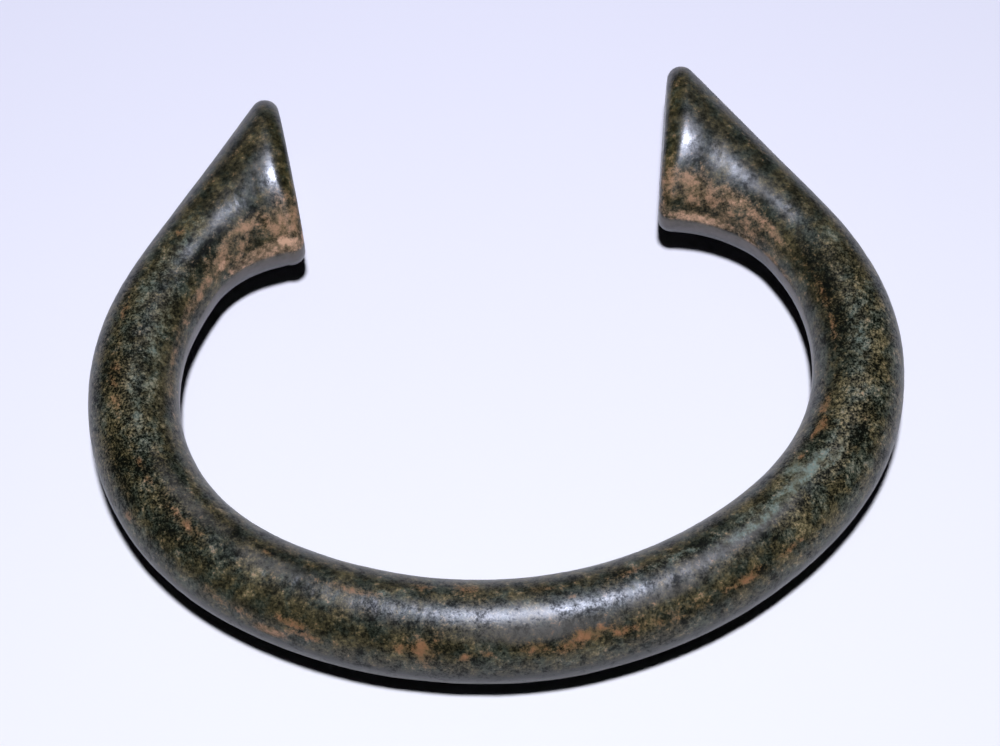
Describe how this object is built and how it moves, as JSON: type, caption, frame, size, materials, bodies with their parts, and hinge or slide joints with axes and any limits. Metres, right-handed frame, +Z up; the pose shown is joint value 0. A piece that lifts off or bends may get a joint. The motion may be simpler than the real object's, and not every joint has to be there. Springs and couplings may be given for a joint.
{
  "type": "manilla",
  "caption": "Open cast bronze ring with a round bar and two flared feet cut off aslant, once worn as a bracelet and used as money.",
  "frame": {"origin": "middle of the bounding box, on the surface that the ring lies on", "axes": "+X across the ring from the left foot to the right foot, +Y from the bow to the gap between the feet, +Z up"},
  "size_m": [0.075, 0.0618, 0.0116],
  "materials": {
    "patinated_bronze": "dark green-brown patina with tan earth in its grain, semi-gloss"
  },
  "bodies": {
    "root": {"manilla": "patinated_bronze"}
  },
  "joints": []
}
